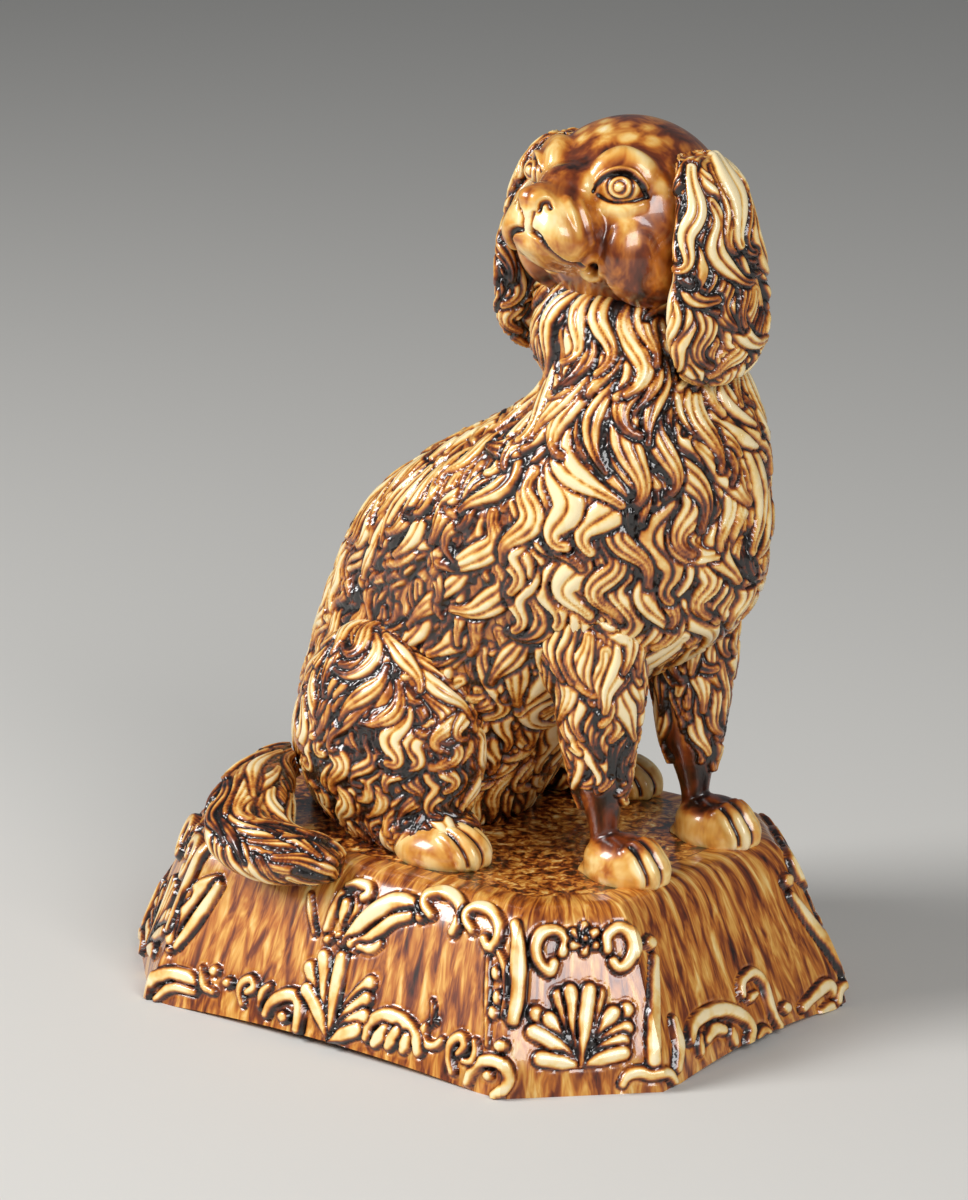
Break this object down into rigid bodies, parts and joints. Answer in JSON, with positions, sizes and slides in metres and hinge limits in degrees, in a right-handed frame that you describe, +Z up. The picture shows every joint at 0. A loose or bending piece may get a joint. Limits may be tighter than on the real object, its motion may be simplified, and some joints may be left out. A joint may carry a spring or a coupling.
{
  "type": "seated dog figure",
  "caption": "Press-moulded pottery spaniel in mottled brown glaze, seated with its head turned, on a hollow moulded plinth with canted corners.",
  "frame": {"origin": "middle of the plinth's foot, on the surface that it stands on", "axes": "+X the way the dog's body faces, +Y the dog's left, +Z up; the head is turned towards -Y"},
  "size_m": [0.2, 0.16, 0.27],
  "materials": {
    "coat_glaze": "thick glossy glaze, mottled from straw yellow on the locks to near black in the grooves",
    "plinth_glaze": "thick glossy glaze, run down the walls in amber and brown streaks, flecked on top"
  },
  "bodies": {
    "root": {"front_left_corner_wall": "plinth_glaze", "left_wall": "plinth_glaze", "rear_left_corner_wall": "plinth_glaze", "rear_wall": "plinth_glaze", "rear_right_corner_wall": "plinth_glaze", "right_wall": "plinth_glaze", "front_right_corner_wall": "plinth_glaze", "front_wall": "plinth_glaze", "plinth_slab": "plinth_glaze", "torso_left_half": "coat_glaze", "torso_right_half": "coat_glaze", "head_face_half": "coat_glaze", "head_back_half": "coat_glaze", "left_ear": "coat_glaze", "right_ear": "coat_glaze", "left_foreleg": "coat_glaze", "right_foreleg": "coat_glaze", "left_haunch": "coat_glaze", "right_haunch": "coat_glaze", "left_hind_paw": "coat_glaze", "right_hind_paw": "coat_glaze", "tail": "coat_glaze"}
  },
  "joints": []
}
